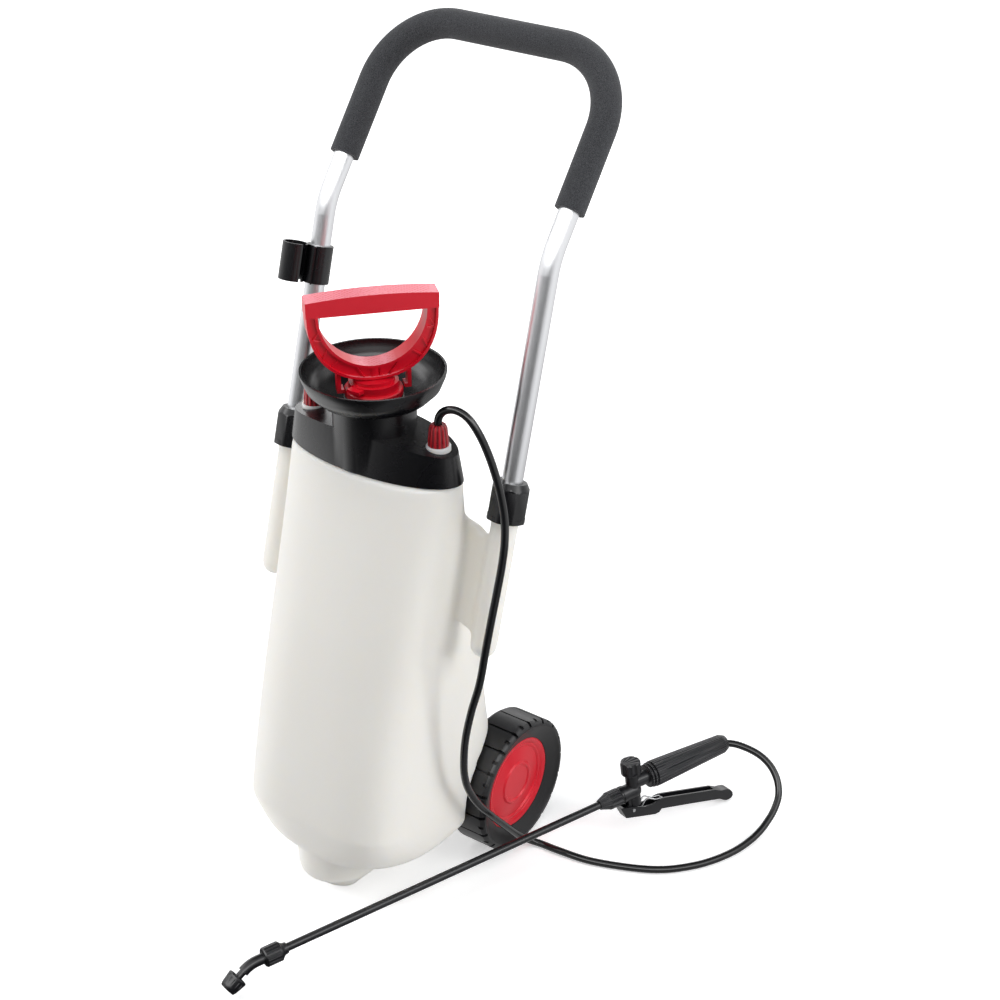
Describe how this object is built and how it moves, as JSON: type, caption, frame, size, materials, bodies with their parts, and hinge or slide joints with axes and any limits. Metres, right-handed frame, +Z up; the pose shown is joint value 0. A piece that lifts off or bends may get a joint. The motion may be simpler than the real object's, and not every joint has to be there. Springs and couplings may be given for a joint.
{
  "type": "wheeled pressure sprayer",
  "caption": "Upright moulded spray tank on two lugged wheels with a hand pump in a filling funnel, a telescopic pull handle, and a hose to a trigger lance lying on the ground.",
  "frame": {"origin": "middle of the flat pad under the front foot, on the ground", "axes": "+X to the side of the hose outlet, +Y from the front foot back to the wheels and the handle, +Z up"},
  "size_m": [0.5295, 0.6348, 0.9183],
  "materials": {
    "tank_plastic": "blow-moulded natural polyethylene, translucent white, fine satin",
    "black_plastic": "moulded black polypropylene, fine satin texture",
    "red_plastic": "moulded bright red polypropylene, half gloss",
    "clear_plastic": "extruded natural polypropylene",
    "black_rubber": "nitrile rubber",
    "hose_rubber": "smooth black hose with a satin skin",
    "foam": "closed-cell foam, matt black",
    "handle_aluminium": "drawn tube, bright anodised",
    "steel": "drawn stainless steel",
    "wheel_black": "moulded black plastic with a satin tread",
    "gun_plastic": "moulded black glass-filled nylon",
    "lance_fibre": "pultruded black fibre tube",
    "brass": "turned brass"
  },
  "bodies": {
    "tank": {"tank": "tank_plastic", "shroud": "black_plastic", "funnel": "black_plastic", "dip_tube": "clear_plastic", "dip_filter": "black_plastic", "relief_spring": "steel", "collet_left": "tank_plastic", "collet_right": "tank_plastic", "axle": "steel", "axle_washers": "steel", "axle_nuts": "steel", "hose": "hose_rubber", "gun_body": "gun_plastic", "hand_grip": "gun_plastic", "hose_tail": "hose_rubber", "lever_pin": "steel", "valve_spring": "steel", "valve_cap": "gun_plastic", "lance_seal": "black_rubber", "lance_tube": "lance_fibre", "nozzle_elbow": "gun_plastic", "nozzle_core": "brass"},
    "outlet_nut": {"outlet_nut": "red_plastic"},
    "handle": {"handle_tube": "handle_aluminium", "foam_grip": "foam", "lance_clip": "black_plastic"},
    "collar_left": {"collar_left": "black_plastic"},
    "collar_right": {"collar_right": "black_plastic"},
    "wheel_left": {"wheel_left": "wheel_black", "wheel_disc_left": "red_plastic"},
    "wheel_right": {"wheel_right": "wheel_black", "wheel_disc_right": "red_plastic"},
    "pump_lift": {"pump_gasket": "black_rubber"},
    "pump": {"pump_cap": "red_plastic", "pump_barrel": "clear_plastic", "foot_valve": "black_plastic"},
    "piston": {"piston": "black_plastic", "piston_seal": "black_rubber"},
    "pump_handle": {"pump_rod": "steel", "pump_handle": "red_plastic"},
    "relief": {"relief_knob": "red_plastic", "relief_stem": "clear_plastic", "relief_seal": "black_rubber"},
    "trigger": {"lever": "gun_plastic", "lock_clip": "steel"},
    "valve": {"valve_stem": "steel", "valve_seal": "black_rubber"},
    "lance_nut": {"lance_nut": "gun_plastic"},
    "nozzle_nut": {"nozzle_nut": "gun_plastic"},
    "nozzle_cap": {"nozzle_cap": "gun_plastic"}
  },
  "joints": [
    {"name": "handle_slide", "type": "slide", "parent": "tank", "child": "handle", "axis": [0, 0.2807, 0.9598], "range_m": [0, 0.09]},
    {"name": "collar_left_turn", "type": "hinge", "parent": "tank", "child": "collar_left", "pos_m": [-0.1455, 0.1237, 0.509], "axis": [0, 0.2807, 0.9598], "range_deg": [0, 60]},
    {"name": "collar_right_turn", "type": "hinge", "parent": "tank", "child": "collar_right", "pos_m": [0.1455, 0.1237, 0.509], "axis": [0, 0.2807, 0.9598], "range_deg": [0, 60]},
    {"name": "wheel_left_spin", "type": "hinge", "parent": "tank", "child": "wheel_left", "pos_m": [-0.095, 0.176, 0.08], "axis": [1, 0, 0], "continuous": true},
    {"name": "wheel_right_spin", "type": "hinge", "parent": "tank", "child": "wheel_right", "pos_m": [0.095, 0.176, 0.08], "axis": [1, 0, 0], "continuous": true},
    {"name": "pump_lift", "type": "slide", "parent": "tank", "child": "pump_lift", "axis": [0, 0, 1], "range_m": [0, 0.36]},
    {"name": "pump_unscrew", "type": "hinge", "parent": "pump_lift", "child": "pump", "pos_m": [0, 0.082, 0.585], "axis": [0, 0, 1], "range_deg": [0, 360]},
    {"name": "pump_stroke", "type": "slide", "parent": "pump", "child": "piston", "axis": [0, 0, 1], "range_m": [0, 0.2]},
    {"name": "handle_turn", "type": "hinge", "parent": "piston", "child": "pump_handle", "pos_m": [0, 0.082, 0.616], "axis": [0, 0, 1], "range_deg": [0, 40]},
    {"name": "relief_pull", "type": "slide", "parent": "tank", "child": "relief", "axis": [0, 0, 1], "range_m": [0, 0.004], "stiffness_N_per_m": 800, "springref_m": -0.002, "deforming": ["relief_spring"]},
    {"name": "outlet_nut_turn", "type": "hinge", "parent": "tank", "child": "outlet_nut", "pos_m": [0.083, 0.082, 0.55], "axis": [0, 0, 1], "range_deg": [0, 360]},
    {"name": "trigger_pull", "type": "hinge", "parent": "tank", "child": "trigger", "pos_m": [0.22123, 0.25859, 0.0385], "axis": [0.9159, -0.3766, 0.139], "range_deg": [0, 14], "stiffness_Nm_per_rad": 1.2, "springref_deg": -6.88},
    {"name": "valve_lift", "type": "slide", "parent": "tank", "child": "valve", "axis": [-0.1498, 0.0006, 0.9887], "range_m": [0, 0.00147], "deforming": ["valve_spring"]},
    {"name": "lance_nut_turn", "type": "hinge", "parent": "tank", "child": "lance_nut", "pos_m": [0.2022, 0.2197, 0.0585], "axis": [0.3724, 0.9264, 0.0558], "range_deg": [0, 360]},
    {"name": "nozzle_nut_turn", "type": "hinge", "parent": "tank", "child": "nozzle_nut", "pos_m": [0.05138, -0.15549, 0.03589], "axis": [0.3724, 0.9264, 0.0558], "range_deg": [0, 360]},
    {"name": "nozzle_cap_turn", "type": "hinge", "parent": "tank", "child": "nozzle_cap", "pos_m": [0.03336, -0.20181, 0.02913], "axis": [-0.2476, -0.8026, -0.5427], "range_deg": [0, 180]}
  ],
  "couplings": [
    {"joint": "valve_lift", "follows": "trigger_pull", "m_per_rad": 0.006}
  ]
}
